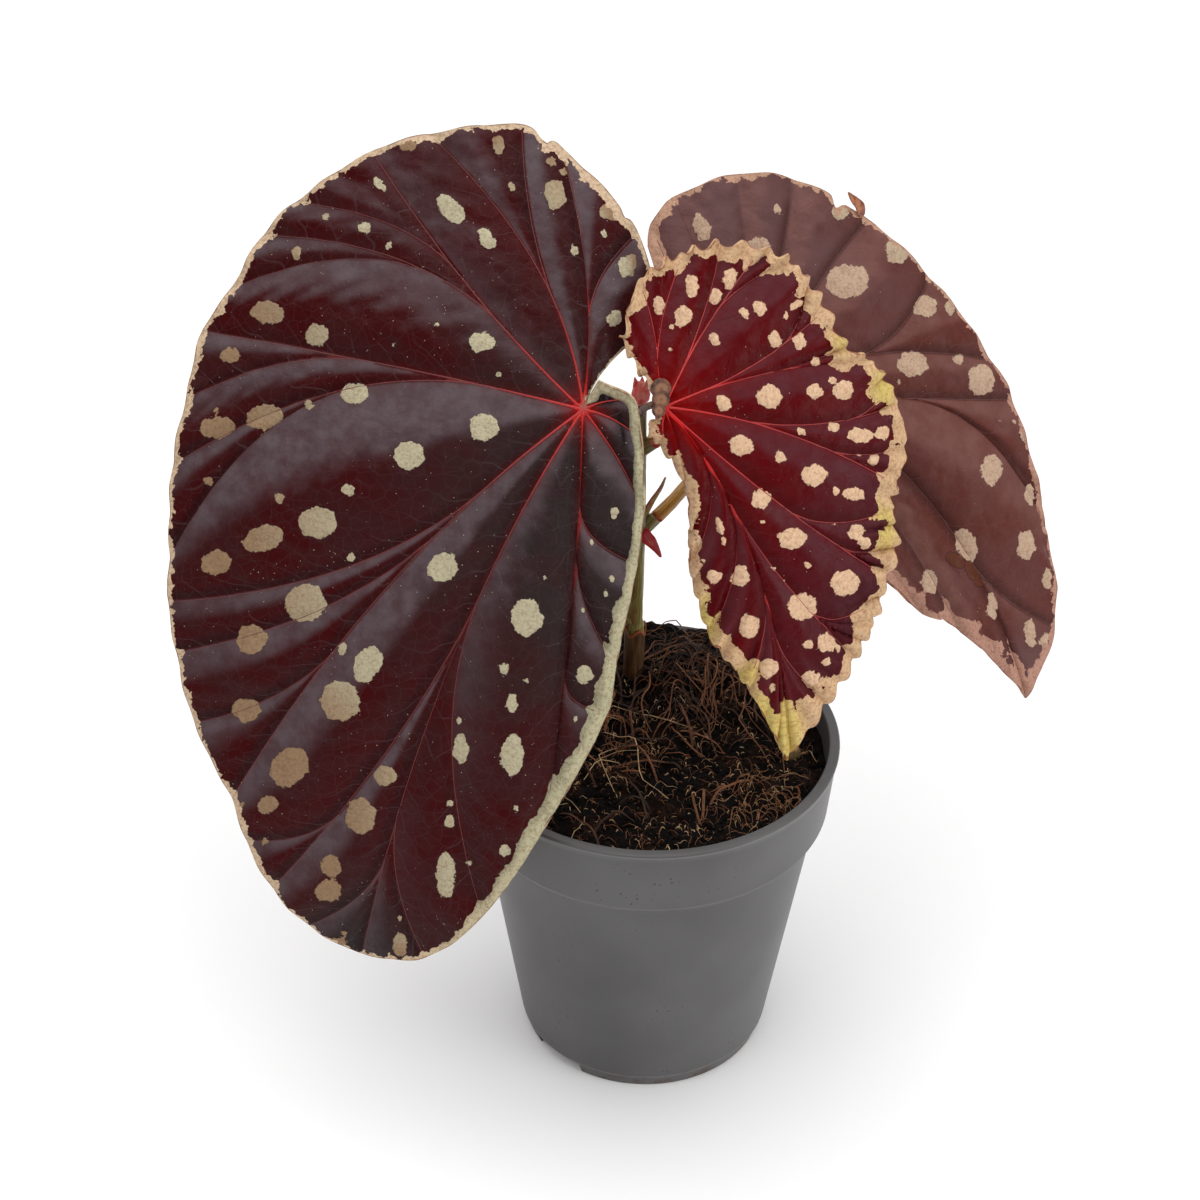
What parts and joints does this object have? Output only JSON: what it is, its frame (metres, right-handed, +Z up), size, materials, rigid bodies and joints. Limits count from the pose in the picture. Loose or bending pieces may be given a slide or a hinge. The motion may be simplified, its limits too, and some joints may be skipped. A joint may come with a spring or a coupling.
{
  "type": "potted begonia",
  "caption": "Small house plant: spotted, lopsided leaves with ragged pale margins, held out by curved stalks on one leaning cane in a soil-filled nursery pot with drain channels under its foot",
  "frame": {"origin": "middle of the pot's flat underside, on the surface the pot stands on", "axes": "+X to the right and +Y away as the plant is pictured, +Z up; the front leaf's upper face looks towards -Y"},
  "size_m": [0.207, 0.1211, 0.2271],
  "materials": {
    "pot_plastic": "satin grey moulded plastic",
    "soil_dark": "near-black soil with brown coir fibres",
    "seed_brown": "dry brown seed",
    "cane_green": "olive-green cane, brown papery sheath below",
    "bud_pink": "soft pink bud",
    "stub_brown": "dry brown cut stalk ends",
    "leaf_front_skin": "dark maroon leaf, pale spots and margin",
    "petiole_front_skin": "olive-gold and red stalk",
    "leaf_middle_skin": "bright red leaf, pale spots and ruffled margin",
    "petiole_middle_skin": "olive-gold and red stalk",
    "leaf_back_skin": "brown-mauve leaf, pale spots, thin pink margin",
    "petiole_back_skin": "olive-gold and red stalk"
  },
  "bodies": {
    "root": {"pot": "pot_plastic", "soil": "soil_dark", "seed": "seed_brown", "cane": "cane_green", "bud": "bud_pink", "flower_stubs": "stub_brown", "leaf_front": "leaf_front_skin", "petiole_front": "petiole_front_skin", "leaf_middle": "leaf_middle_skin", "petiole_middle": "petiole_middle_skin", "leaf_back": "leaf_back_skin", "petiole_back": "petiole_back_skin"}
  },
  "joints": []
}
